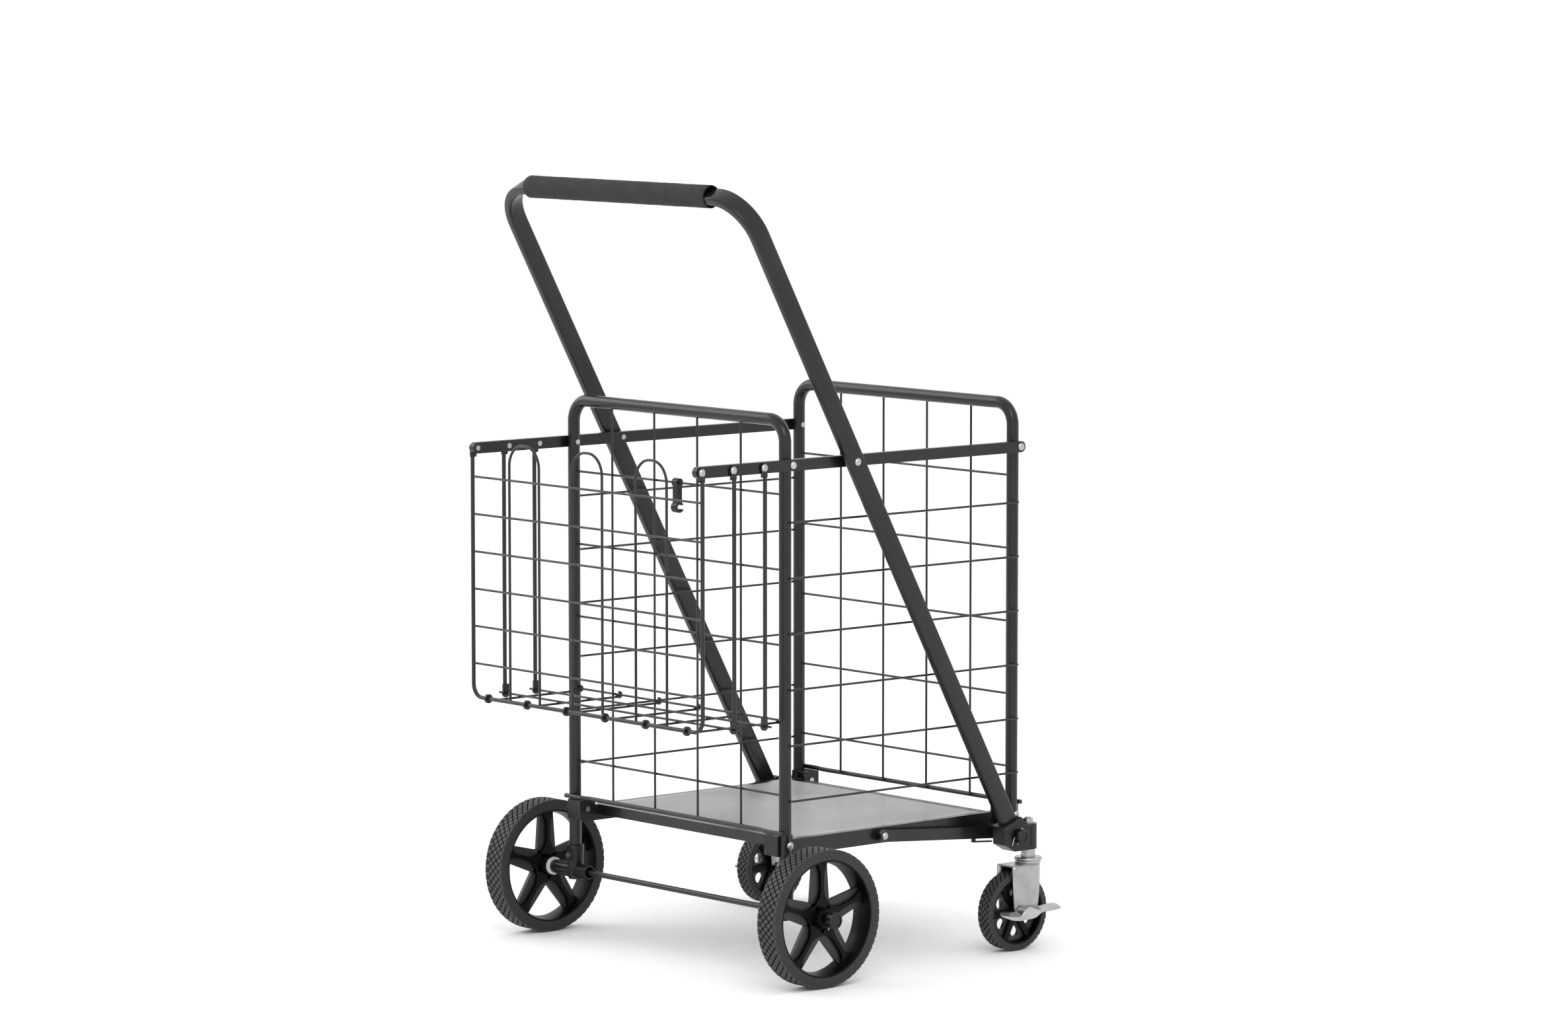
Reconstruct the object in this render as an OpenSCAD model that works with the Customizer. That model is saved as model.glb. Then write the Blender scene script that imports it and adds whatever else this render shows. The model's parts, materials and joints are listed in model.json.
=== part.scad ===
// Folding double-basket shopping cart.
// X runs to the user's right, Y forwards towards the casters, Z up; the floor is Z = 0.
// Y = 0 is halfway between the rearmost and the foremost point of the standing cart.

/* [Frames] */
// Distance between the two post axes of each frame
post_span = 450; // [430:1:470]
// Distance between the rear and the front posts
frame_gap = 418; // [410:1:430]
// Outer diameter of the bent frame tube
tube_d = 17; // [15:0.5:19]
// Wall of the bent frame tube
tube_wall = 1.3; // [1:0.1:2]
// Height of the frames' top bar, at its centre
frame_top = 759; // [740:1:780]
// Centreline radius of the frames' corners
corner_r = 30; // [26:1:40]
// Height of the side rails, at their centre
rail_z = 700; // [690:1:706]

/* [Wire] */
// Wire diameter of the grids and side wires
wire_d = 3.2; // [2.6:0.1:3.6]
// Diameter of the grids' bottom rod
bottom_rod_d = 6.4; // [5:0.1:7]
// Spacing of the grids' cross wires
grid_pitch = 102; // [98:0.5:104]
// Spacing of the side wires
side_pitch = 75.6; // [70:0.2:77]

/* [Small basket] */
// How far the small basket's frame hangs behind the rear posts
basket_depth = 163; // [150:1:170]
// Height of the small basket's floor hinge line
basket_floor_z = 353; // [345:1:360]
// Rod diameter of the small basket's frame and side rods
rod_d = 5.7; // [5:0.1:6.4]

/* [Handle] */
// Lean of the handle from the vertical
handle_lean = 28.7; // [27:0.1:30]
// Distance from the rail pivot up the handle to its top bar
handle_reach = 411; // [390:1:420]
// Centreline radius of the handle's bends
handle_bend_r = 59; // [50:1:70]
// Diameter of the foam grip
grip_d = 31.8; // [31:0.1:33]
// Length of the foam grip
grip_len = 384; // [340:1:390]

/* [Wheels] */
// Rear wheel diameter
rear_wheel_d = 188; // [180:1:192]
// Rear wheel width
rear_wheel_w = 35; // [30:1:36]
// Caster wheel diameter
caster_wheel_d = 109; // [104:1:110]
// Caster wheel width
caster_wheel_w = 24; // [20:1:24]
// How far the caster wheel's axle trails its stem
caster_trail = 29.5; // [26:0.5:32]

/* [Hidden] */
$fn = 48;
fit = 0.05;                       // radial clearance of every turning pin
weld = 0.3;                       // how far crossing wires sink into each other
rail_h = 15.5;
rear_reach = basket_depth + rail_h / 2; // rearmost point, behind the rear posts
front_reach = 458;                // foremost point, in front of the rear posts
yr = (rear_reach - front_reach) / 2;
yf = yr + frame_gap;
px = post_span / 2;
tr = tube_d / 2;
wr = wire_d / 2;
br = bottom_rod_d / 2;
rr = rod_d / 2;

base_z = 184;                     // pivot height of the base frame
post_out = px + tr;               // outermost face of the posts

// side rails
rail_x0 = post_out + 0.5;
rail_t = 9;
rail_x1 = rail_x0 + rail_t;
rivet_r = 2.4;
head_r = 6.4;                     // sphere of the rivets' domed heads
head_sink = 3.4;                  // how far its centre lies behind the head's foot
rod_x = rail_x1 + 0.4 + rr;

// handle
handle_y = yr + 97;               // where the handle crosses the rails
leg_t = 12.8;
leg_w = 27.4;
leg_x = 257.2;
leg_in = leg_x - leg_t / 2;
leg_out = leg_x + leg_t / 2;
leg_wall = 1.3;
leg_down = 614.9;                 // from the rail pivot down the leg to the front pivot
leg_end = leg_down + 10;
pivot_y = handle_y + leg_down * sin(handle_lean);
pivot_z = rail_z - leg_down * cos(handle_lean);

// base
bar_x0 = 200.5;
bar_x1 = 212.5;
bar_z0 = 166;
bar_z1 = 188;
bar_zc = (bar_z0 + bar_z1) / 2;
bar_r = (bar_z1 - bar_z0) / 2;
cross_in = 24;                    // from the posts' axis to the cross bars
cross_w = 15;
cross_h = 14.5;
deck_t = 4;
deck_y0 = yr + cross_in + cross_w;
deck_y1 = yf - cross_in - cross_w;
link_y = yr + 183;
link_x0 = 219;
link_t = 5;
link_r = 8.25;

// small basket
basket_y = yr - basket_depth;
rod_ys = [yr - 108, yr - 54];
eye_t = 2.6;
eye_r = 6.2;
basket_corner_r = 18;
arch_r = 1.9;
arch_xs = [-136, 0, 136];
arch_w = 65;
arch_top = 709;
basket_rows = 6;
basket_pitch = 52;
floor_xs = [-213.5, -127.5, -41.5, 41.5, 127.5, 213.5];

// rear axle and wheels
axle_z = rear_wheel_d / 2;
axle_r = 4;
axle_half = 326.6;
wheel_x = 276;
wheel_r = rear_wheel_d / 2;
tyre_t = 16;
rim_t = 7;
hub_r = 13;
spokes = 5;
cap_r = 11.5;
cap_t = 9;
cap_x = 321;
rear_cotter_x = cap_x - 1.6;

// casters
stem_x = 257;
stem_y = yr + 420.5;
caster_y = stem_y - caster_trail;
caster_r = caster_wheel_d / 2;
caster_z = caster_r;
fork_half = 16.7;
fork_t = 2.6;
fork_top = 120;
race_r = 19.6;
bracket_x0 = 245;
bracket_x1 = 269.5;
bracket_z0 = 139.5;
bracket_z1 = 175;
front_cotter_x = bracket_x1 + 1.2;

clip_x = 0;
clip_len = 34;
top_wire_z = base_z + 475;        // the grids' highest cross wire

// ---- helpers ----

// both sides of the cart
module both() {
    children();
    mirror([1, 0, 0]) children();
}

// a round bar along X, from x0 to x1
module bar_x(x0, x1, y, z, r) {
    translate([x0, y, z]) rotate([0, 90, 0]) cylinder(r = r, h = x1 - x0);
}

// a straight round wire from point a to point b
module seg(a, b, r) {
    v = b - a;
    translate(a)
        rotate([0, acos(v[2] / norm(v)), atan2(v[1], v[0])])
            cylinder(r = r, h = norm(v));
}

// a flat ring on the X axis, w wide, centred on x = 0
module ring_x(r_in, r_out, w) {
    translate([-w / 2, 0, 0]) rotate([0, 90, 0]) difference() {
        cylinder(r = r_out, h = w);
        translate([0, 0, -1]) cylinder(r = r_in, h = w + 2);
    }
}

// a quarter bend in the XZ plane, centred at (x, z), from +X up to +Z
module bend_up(x, y, z, bend, r) {
    translate([x, y, z]) rotate([90, 0, 0]) rotate_extrude(angle = 90) translate([bend, 0]) circle(r = r);
}

// the solid path of an upside-down U tube in the XZ plane
module u_path(y, z_low, r) {
    both() {
        translate([px, y, z_low]) cylinder(r = r, h = frame_top - corner_r - z_low);
        bend_up(px - corner_r, y, frame_top - corner_r, corner_r, r);
    }
    bar_x(-(px - corner_r), px - corner_r, y, frame_top, r);
}

// a rivet along +X: shank from x0 to x1, head outboard, ring-shaped tail inboard
module rivet(x0, x1, y, z, r = rivet_r) {
    bar_x(x0 - 0.8, x1, y, z, r);
    translate([x1, y, z]) rotate([0, 90, 0]) rotate_extrude()
        difference() {
            translate([0, -head_sink]) circle(r = head_r);
            translate([-2 * head_r, -3 * head_r]) square([4 * head_r, 3 * head_r]);
            translate([-2 * head_r, 0]) square([2 * head_r, 2 * head_r]);
        }
    translate([x0 - 0.8, y, z]) rotate([0, 90, 0]) difference() {
        cylinder(r = r + 1.3, h = 0.8);
        translate([0, 0, -0.4]) cylinder(r = r - 1, h = 0.8);
    }
}

// a bar with round ends in the YZ plane, from (ya, za) to (yb, zb), thick in X
module round_bar(ya, za, yb, zb, r, x0, t) {
    span = norm([yb - ya, zb - za]);
    translate([x0, ya, za]) rotate([atan2(zb - za, yb - ya), 0, 0]) {
        rotate([0, 90, 0]) cylinder(r = r, h = t);
        translate([0, 0, -r]) cube([t, span, 2 * r]);
        translate([0, span, 0]) rotate([0, 90, 0]) cylinder(r = r, h = t);
    }
}

// places children in the handle's own plane: X as is, Y up along the leg, Z forwards and up
module handle_plane() {
    translate([0, handle_y, rail_z]) rotate([90 + handle_lean, 0, 0]) children();
}

// ---- frames ----

module frame_tube(y, z_low) {
    difference() {
        u_path(y, z_low, tr);
        u_path(y, z_low - 1, tr - tube_wall);
        both() {
            bar_x(px - tr - 1, px + tr + 1, y, rail_z, rivet_r);
            bar_x(px - tr - 1, px + tr + 1, y, base_z, rivet_r);
            for (i = [0 : 5]) bar_x(px, px + tr + 1, y, side_z(i), wr + fit);
        }
    }
}

function side_z(i) = base_z + 438 - i * side_pitch;
function grid_z(i) = top_wire_z - i * grid_pitch;

module rear_frame() {
    color("#26272a") frame_tube(yr, axle_z + 9);
}

module front_frame() {
    color("#26272a") frame_tube(yf, bar_z0 + 3);
}

// a frame's grid; side = -1 puts the upright wires behind the cross wires, 1 in front
module grid(y, side) {
    up_y = y + side * (wire_d - weld);
    rod_y = up_y + side * (wr + br - weld);
    over_y = y + side * (tr + br - weld);
    rod_z = 200.8;
    for (i = [0 : 4]) bar_x(-(px - tr + 0.6), px - tr + 0.6, y, grid_z(i), wr);
    for (x = [-137, -45.7, 45.7, 137])
        translate([x, up_y, rod_z]) cylinder(r = wr, h = frame_top - tr + 0.8 - rod_z);
    bar_x(-182, 182, rod_y, rod_z, br);
    both() {
        seg([180, rod_y, rod_z], [199, over_y, rod_z], br - 0.1);
        bar_x(197, px + 7, over_y, rod_z, br);
    }
}

module rear_grid() {
    color("#2b2c2f") grid(yr, -1);
}

module front_grid() {
    color("#2b2c2f") grid(yf, 1);
}

// a plastic saddle on a post's inboard half, with an ear; the base bar's end turns between them.
// side = -1 closes the pocket at the back, 1 closes it at the top and front
module hinge_bracket(y, side) {
    z0 = 169;
    z1 = 197;
    ear_x = bar_x0 - 3.4;
    half = 13.5;
    difference() {
        union() {
            translate([bar_x1 + 0.4, y - half, z0]) cube([px - bar_x1 - 0.4, 2 * half, z1 - z0]);
            translate([ear_x, y - half, z0]) cube([3, 2 * half, z1 - z0]);
            if (side < 0)
                translate([ear_x, y - half, z0]) cube([bar_x1 - ear_x + 1, 2.4, z1 - z0]);
            else
                translate([ear_x, y - half, z1 - 1.8]) cube([bar_x1 - ear_x + 1, 2 * half, 1.8]);
        }
        translate([px, y, z0 - 1]) cylinder(r = tr, h = z1 - z0 + 2);
        bar_x(ear_x - 1, px + 1, y, base_z, rivet_r);
    }
}

module rear_hinge_brackets() {
    color("#1b1b1d") both() hinge_bracket(yr, -1);
}

module front_hinge_brackets() {
    color("#1b1b1d") both() hinge_bracket(yf, 1);
}

// the base's pivots, with a shoulder under each head that stands off the post
module base_rivets(y) {
    both() {
        rivet(bar_x0 - 3.4, post_out + 2.8, y, base_z);
        bar_x(post_out + 0.2, post_out + 2.8, y, base_z, 4.2);
    }
}

module base_rear_rivets() {
    color("#c4c6c8") base_rivets(yr);
}

module base_front_rivets() {
    color("#c4c6c8") base_rivets(yf);
}

module rail_rivets(y) {
    both() rivet(px - tr, rail_x1 + 0.2, y, rail_z);
}

module rail_rear_rivets() {
    color("#c4c6c8") rail_rivets(yr);
}

module rail_front_rivets() {
    color("#c4c6c8") rail_rivets(yf);
}

// ---- rails ----

module rail() {
    difference() {
        round_bar(basket_y, rail_z, yf, rail_z, rail_h / 2, rail_x0, rail_t);
        round_bar(basket_y + 14, rail_z, yf - 14, rail_z, rail_h / 2 - 1.3, rail_x0 + 1.3, rail_t - 2.6);
        for (y = [yr, yf]) bar_x(rail_x0 - 1, rail_x1 + 1, y, rail_z, rivet_r + fit);
        for (y = [basket_y, rod_ys[0], rod_ys[1], handle_y])
            bar_x(rail_x0 - 1, rail_x1 + 1, y, rail_z, rivet_r);
    }
}

module rail_right() {
    color("#28292c") rail();
}

module rail_left() {
    color("#28292c") mirror([1, 0, 0]) rail();
}

module handle_rivets() {
    color("#c4c6c8") both() rivet(rail_x0, leg_out + 0.2, handle_y, rail_z);
}

module handle_spacers() {
    color("#1b1b1d") both() difference() {
        bar_x(rail_x1, leg_in - 0.2, handle_y, rail_z, 6.5);
        bar_x(rail_x1 - 1, leg_in + 1, handle_y, rail_z, rivet_r);
    }
}

module basket_rivets() {
    color("#c4c6c8") both()
        for (y = [basket_y, rod_ys[0], rod_ys[1]]) rivet(rail_x0, rail_x1 + 0.8 + eye_t, y, rail_z);
}

// ---- base ----

module base_frame() {
    color("#28292c") {
        both() difference() {
            round_bar(yr + 3, bar_zc, yf - 3, bar_zc, bar_r, bar_x0, bar_x1 - bar_x0);
            round_bar(yr + 24, bar_zc, yf - 24, bar_zc, bar_r - 1.4, bar_x0 + 1.4, bar_x1 - bar_x0 - 2.8);
            for (y = [yr, yf]) bar_x(bar_x0 - 1, bar_x1 + 1, y, base_z, rivet_r + fit);
            bar_x(bar_x0 - 1, bar_x1 + 1, link_y, bar_zc, rivet_r);
        }
        for (y = [yr + cross_in, yf - cross_in - cross_w]) difference() {
            translate([-bar_x0, y, bar_z1 - cross_h]) cube([2 * bar_x0, cross_w, cross_h]);
            translate([-bar_x0 - 1, y + 1.4, bar_z1 - cross_h + 1.4])
                cube([2 * bar_x0 + 2, cross_w - 2.8, cross_h - 2.8]);
        }
    }
}

module base_deck() {
    color("#9fa1a3") translate([-bar_x0, deck_y0, bar_z1 - deck_t])
        cube([2 * bar_x0, deck_y1 - deck_y0, deck_t]);
}

module link_rivets() {
    color("#c4c6c8") both() rivet(bar_x0, link_x0 + link_t + 0.2, link_y, bar_zc);
}

module link_spacers() {
    color("#1b1b1d") both() difference() {
        bar_x(bar_x1, link_x0 - 0.2, link_y, bar_zc, 7.5);
        bar_x(bar_x1 - 1, link_x0 + 1, link_y, bar_zc, rivet_r);
    }
}

module link_bars() {
    hook_l = 36;
    hook_t = 2.2;
    hook_gap = 3;
    color("#28292c") both() {
        difference() {
            round_bar(link_y, bar_zc, pivot_y, pivot_z, link_r, link_x0, link_t);
            bar_x(link_x0 - 1, link_x0 + link_t + 1, link_y, bar_zc, rivet_r + fit);
        }
        slope = atan2(pivot_z - bar_zc, pivot_y - link_y);
        translate([link_x0, link_y, bar_zc]) rotate([slope, 0, 0])
            translate([0, 166, -link_r - hook_gap - hook_t]) {
                cube([link_t, hook_l, hook_t]);
                cube([link_t, 4, hook_gap + hook_t + 0.6]);
            }
    }
}

// ---- side wires ----

// one level: a wire on each side, its pins in holes of the rear and the front post
module side_wires(i) {
    x = post_out + 0.2 + wr;
    z = side_z(i);
    color("#2b2c2f") both() {
        bar_x(px + 4, x + wr, yr, z, wr);
        seg([x, yr, z], [x, yf + 2, z], wr - 0.05);
        bar_x(px + 4, x, yf, z, wr);
    }
}

// ---- small basket ----

// a rod's flattened end: a thin plate with a hole, tangent to the rod's inner side
module rod_eye(y, z, hole, down) {
    x0 = rail_x1 + 0.4;
    translate([x0, y, z]) rotate([0, 90, 0]) difference() {
        union() {
            cylinder(r = eye_r, h = eye_t);
            translate([down * (eye_r + 1) - (eye_r + 5) / 2, -eye_r + 1.2, 0])
                cube([eye_r + 5, 2 * eye_r - 2.4, eye_t]);
        }
        translate([0, 0, -1]) cylinder(r = hole, h = eye_t + 2);
    }
}

module basket_frame() {
    low = basket_floor_z;
    color("#2b2c2f") {
        both() {
            rod_eye(basket_y, rail_z, rivet_r + fit, 1);
            translate([rod_x, basket_y, low + basket_corner_r])
                cylinder(r = rr, h = rail_z - 11 - low - basket_corner_r);
            translate([rod_x - basket_corner_r, basket_y, low + basket_corner_r]) mirror([0, 0, 1])
                rotate([90, 0, 0]) rotate_extrude(angle = 90) translate([basket_corner_r, 0]) circle(r = rr);
        }
        bar_x(-(rod_x - basket_corner_r), rod_x - basket_corner_r, basket_y, low, rr);
    }
}

module basket_grid() {
    arch_y = basket_y + wr + arch_r - weld;
    bend = arch_w / 2 - 3;
    color("#2b2c2f") {
        for (i = [0 : basket_rows - 1])
            bar_x(-rod_x + rr - 0.5, rod_x - rr + 0.5, basket_y, 660 - i * basket_pitch, wr);
        for (x = arch_xs) translate([x, arch_y, 0]) {
            both() {
                translate([arch_w / 2, 0, basket_floor_z]) cylinder(r = arch_r, h = arch_top - bend - basket_floor_z);
                bend_up(arch_w / 2 - bend, 0, arch_top - bend, bend, arch_r);
            }
            bar_x(-(arch_w / 2 - bend), arch_w / 2 - bend, 0, arch_top, arch_r);
        }
    }
}

module basket_rods(y) {
    color("#2b2c2f") both() {
        rod_eye(y, rail_z, rivet_r + fit, 1);
        translate([rod_x, y, basket_floor_z + 11]) cylinder(r = rr, h = rail_z - basket_floor_z - 22);
        rod_eye(y, basket_floor_z, wr + fit, -1);
    }
}

// the floor: lengthwise wires with an eye round the frame's bar and a hook on the rear grid
module basket_floor() {
    eye = rr + fit;
    hook = wr + fit;
    w = wire_d + 0.3;
    wire_z = basket_floor_z - wire_d + weld;
    color("#2b2c2f") {
        for (x = floor_xs) {
            translate([x, basket_y, basket_floor_z]) ring_x(eye, eye + w, w);
            translate([x, yr, basket_floor_z]) difference() {
                ring_x(hook, hook + w, w);
                translate([-w, -2 * w, 0]) cube([2 * w, 2 * w, 2 * w]);
            }
            seg([x, basket_y + eye + 1.2, wire_z], [x, yr - 2.1, wire_z], wr);
        }
        for (y = rod_ys) bar_x(-rod_x - 12, rod_x + 12, y, basket_floor_z, wr);
    }
}

// ---- handle ----

// the handle's outline in its own plane, with its sides moved in by inset
module handle_outline(inset, down) {
    half = leg_t / 2 - inset;
    cx = leg_x - handle_bend_r;
    cy = handle_reach - handle_bend_r;
    for (s = [-1, 1]) {
        translate([s * leg_x - half, -down]) square([2 * half, cy + down]);
        intersection() {
            translate([s * cx, cy]) difference() {
                circle(r = handle_bend_r + half);
                circle(r = handle_bend_r - half);
            }
            translate([s > 0 ? cx : -cx - 2 * handle_bend_r, cy]) square(2 * handle_bend_r);
        }
    }
    translate([-cx, handle_reach - half]) square([2 * cx, 2 * half]);
}

module handle_tube() {
    color("#28292c") difference() {
        handle_plane() difference() {
            translate([0, 0, -leg_w / 2]) linear_extrude(leg_w) handle_outline(0, leg_end);
            translate([0, 0, -leg_w / 2 + leg_wall]) linear_extrude(leg_w - 2 * leg_wall)
                handle_outline(leg_wall, leg_end + 1);
        }
        both() {
            bar_x(leg_in - 1, leg_out + 1, handle_y, rail_z, rivet_r + fit);
            bar_x(leg_in - 1, leg_out + 1, pivot_y, pivot_z, axle_r);
        }
    }
}

module handle_grip() {
    color("#1d1d1e") handle_plane() translate([0, handle_reach, 0]) difference() {
        bar_x(-grip_len / 2, grip_len / 2, 0, 0, grip_d / 2);
        cube([grip_len + 2, leg_t, leg_w], center = true);
    }
}

// the caster bracket's outline in the YZ plane: slanted socket, then the stem block
module bracket_outline() {
    y = pivot_y;
    polygon([[y - 29, bracket_z1], [y - 27, bracket_z0 + 10.5], [y - 8, bracket_z0], [stem_y, bracket_z0],
        [stem_y, bracket_z1], [y + 12, bracket_z1], [y + 4.5, bracket_z1 + 12]]);
}

module caster_brackets() {
    color("#1b1b1d") both() difference() {
        union() {
            translate([bracket_x0, 0, 0]) rotate([90, 0, 90])
                linear_extrude(bracket_x1 - bracket_x0) bracket_outline();
            translate([stem_x, stem_y, bracket_z0])
                cylinder(r = (bracket_x1 - bracket_x0) / 2, h = bracket_z1 - bracket_z0);
            bar_x(link_x0 + link_t + 2, bracket_x0 + 1, pivot_y, pivot_z, 9);
        }
        handle_plane() translate([leg_in, -leg_end, -leg_w / 2]) cube([leg_t, 60, leg_w]);
        bar_x(link_x0 + link_t + 1, bracket_x1 + 1, pivot_y, pivot_z, axle_r);
        translate([stem_x, stem_y, bracket_z0 - 1]) cylinder(r = 4, h = bracket_z1 - bracket_z0 + 2);
    }
}

module front_pivot_pins() {
    color("#3a3b3d") both() difference() {
        bar_x(link_x0 + link_t + 1.5, bracket_x1 + 5.5, pivot_y, pivot_z, axle_r);
        cotter_leg(front_cotter_x, pivot_y, pivot_z, 8);
    }
}

// a turned end cap on a shaft of axle_r
module end_cap(x0, y, z, r, t) {
    difference() {
        union() {
            bar_x(x0, x0 + t - 1.5, y, z, r);
            translate([x0 + t - 1.5, y, z]) rotate([0, 90, 0]) cylinder(r1 = r, r2 = r - 1.5, h = 1.5, $fn = 64);
        }
        bar_x(x0 - 1, x0 + t - 3, y, z, axle_r);
        bar_x(x0 + t - 0.8, x0 + t + 1, y, z, r - 3.5);
    }
}

module front_end_caps() {
    color("#202022") both() end_cap(bracket_x1 + 2.4, pivot_y, pivot_z, 10, 6.4);
}

// a split pin's straight leg, tilted in the plane of the cap
module cotter_leg(x, y, z, r) {
    translate([x, y, z]) rotate([-24, 0, 0]) translate([0, 0, -axle_r - r]) cylinder(r = 0.8, h = 2 * axle_r + r + 2);
}

// a split pin: its leg and its ring
module cotter(x, y, z, r) {
    cotter_leg(x, y, z, r);
    translate([x, y, z]) rotate([-24, 0, 0]) translate([0, 0, axle_r + 4.4])
        rotate([0, 90, 0]) rotate_extrude() translate([2.6, 0]) circle(r = 0.8);
}

module front_cotter_pins() {
    color("#c9c9cc") both() cotter(front_cotter_x, pivot_y, pivot_z, 8);
}

// ---- casters ----

module caster_stems() {
    color("#b4b6b8") both() translate([stem_x, stem_y, 0]) difference() {
        union() {
            translate([0, 0, fork_top - 8]) cylinder(r = 7, h = 3.8);
            translate([0, 0, fork_top - 8]) cylinder(r = 5, h = 14);
            translate([0, 0, fork_top + 0.3]) cylinder(r = race_r - 1.6, h = 3);
            translate([0, 0, fork_top + 3]) rotate_extrude() union() {
                square([race_r - 2.6, 5.2]);
                translate([race_r - 2.6, 2.6]) circle(r = 2.6);
            }
            translate([0, 0, fork_top + 6]) cylinder(r = 10, h = bracket_z0 - fork_top - 6);
            translate([0, 0, bracket_z0 - 1]) cylinder(r = 4, h = bracket_z1 - bracket_z0 + 9.5);
        }
    }
}

module caster_nuts() {
    color("#c4c6c8") both() translate([stem_x, stem_y, bracket_z1]) difference() {
        union() {
            cylinder(r = 8.4, h = 1.5);
            translate([0, 0, 1.5]) cylinder(r = 7.2, h = 5.6, $fn = 6);
        }
        translate([0, 0, -1]) cylinder(r = 4, h = 10);
    }
}

// one fork: pressed top plate, two cheeks and a rounded front skirt
module caster_fork() {
    leg_bottom = caster_z - 9;
    skirt_z = 94;
    color("#b4b6b8") difference() {
        union() {
            for (s = [-1, 1]) translate([stem_x + (s > 0 ? fork_half - fork_t : -fork_half), 0, 0])
                rotate([90, 0, 90]) linear_extrude(fork_t)
                    polygon([[caster_y - 14, fork_top], [caster_y - 11, caster_z], [caster_y - 8, leg_bottom],
                        [caster_y + 16, leg_bottom], [caster_y + 31, caster_z + 10], [stem_y, skirt_z],
                        [stem_y, fork_top]]);
            translate([stem_x - fork_half, caster_y - 14, fork_top - fork_t])
                cube([2 * fork_half, stem_y - caster_y + 14, fork_t]);
            translate([stem_x, stem_y, fork_top - fork_t]) cylinder(r = fork_half, h = fork_t);
            difference() {
                translate([stem_x, stem_y, skirt_z]) cylinder(r = fork_half, h = fork_top - skirt_z);
                translate([stem_x, stem_y, skirt_z - 1]) cylinder(r = fork_half - fork_t, h = fork_top - skirt_z + 2);
                translate([stem_x - 30, stem_y - 60, 0]) cube([60, 60, 200]);
            }
        }
        translate([stem_x, stem_y, fork_top - 10]) cylinder(r = 5 + fit, h = 20);
        bar_x(stem_x - 30, stem_x + 30, caster_y, caster_z, axle_r);
    }
}

module caster_axle() {
    color("#b9bbbd") {
        bar_x(stem_x - fork_half - 1.2, stem_x + fork_half + 3.2, caster_y, caster_z, axle_r);
        bar_x(stem_x - fork_half - 5.2, stem_x - fork_half - 0.2, caster_y, caster_z, 6.5);
        bar_x(stem_x + fork_half + 3, stem_x + fork_half + 6.5, caster_y, caster_z, 6.5);
    }
}

// a spoked rim on the X axis, from x = 0 to w
module rim(w, r_out, band, hub, count) {
    spoke_w = w * 0.5;
    rotate([0, 90, 0]) difference() {
        union() {
            difference() {
                cylinder(r = r_out, h = w);
                translate([0, 0, -1]) cylinder(r = r_out - band, h = w + 2);
            }
            cylinder(r = hub, h = w);
            translate([0, 0, (w - spoke_w) / 2]) linear_extrude(spoke_w)
                for (i = [0 : count - 1]) rotate(i * 360 / count + 180)
                    polygon([[0, -hub * 0.9], [r_out - band + 1, -hub * 0.5],
                        [r_out - band + 1, hub * 0.5], [0, hub * 0.9]]);
        }
        translate([0, 0, -1]) cylinder(r = axle_r + fit, h = w + 2);
    }
}

// a disc rim on the X axis with round holes, from x = 0 to w
module disc_rim(w, r_out, band, hub, holes) {
    rotate([0, 90, 0]) difference() {
        cylinder(r = r_out, h = w);
        for (z = [-1, w / 2 + 2]) translate([0, 0, z]) difference() {
            cylinder(r = r_out - band, h = w / 2 - 1);
            translate([0, 0, -1]) cylinder(r = hub, h = w);
        }
        translate([0, 0, -1]) cylinder(r = axle_r + fit, h = w + 2);
        for (i = [0 : holes - 1]) rotate((i + 0.5) * 360 / holes)
            translate([r_out * 0.6, 0, 0]) cylinder(r = r_out * 0.14, h = w);
    }
}

// a plain tyre on the X axis, from x = 0 to w, with rounded shoulders
module tyre(w, r_out, thick) {
    shoulder = 3;
    rotate([0, 90, 0]) rotate_extrude() {
        translate([r_out - thick, 0]) square([thick - shoulder, w]);
        translate([r_out - shoulder, shoulder]) square([shoulder, w - 2 * shoulder]);
        for (y = [shoulder, w - shoulder]) translate([r_out - shoulder, y]) circle(r = shoulder);
    }
}

module caster_wheel_place() {
    translate([stem_x - caster_wheel_w / 2, caster_y, caster_z]) children();
}

module caster_rim() {
    color("#1e1e20") caster_wheel_place() disc_rim(caster_wheel_w, caster_r - 9, 4, 9, 7);
}

module caster_tyre() {
    color("#17171a") caster_wheel_place() tyre(caster_wheel_w, caster_r, 9);
}

// rocker pedal on the axle's outer end: cheek, rear flap and front tab
module brake_pedal() {
    x0 = stem_x + fork_half + 0.4;
    t = 2.2;
    color("#b4b6b8") difference() {
        union() {
            bar_x(x0, x0 + t, caster_y, caster_z, 9);
            translate([x0, caster_y - 30, caster_z - 4]) cube([t, 52, 9]);
            translate([x0, caster_y - 46, caster_z + 1]) cube([17, 34, t]);
            translate([x0, caster_y + 14, caster_z + 2.8]) cube([17, front_reach + yr - caster_y - 14 - 8.5, t]);
            translate([x0 + 8.5, front_reach + yr - 8.5, caster_z + 2.8]) cylinder(r = 8.5, h = t);
        }
        bar_x(x0 - 1, x0 + t + 1, caster_y, caster_z, axle_r + fit);
    }
}

// ---- rear axle and wheels ----

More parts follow.
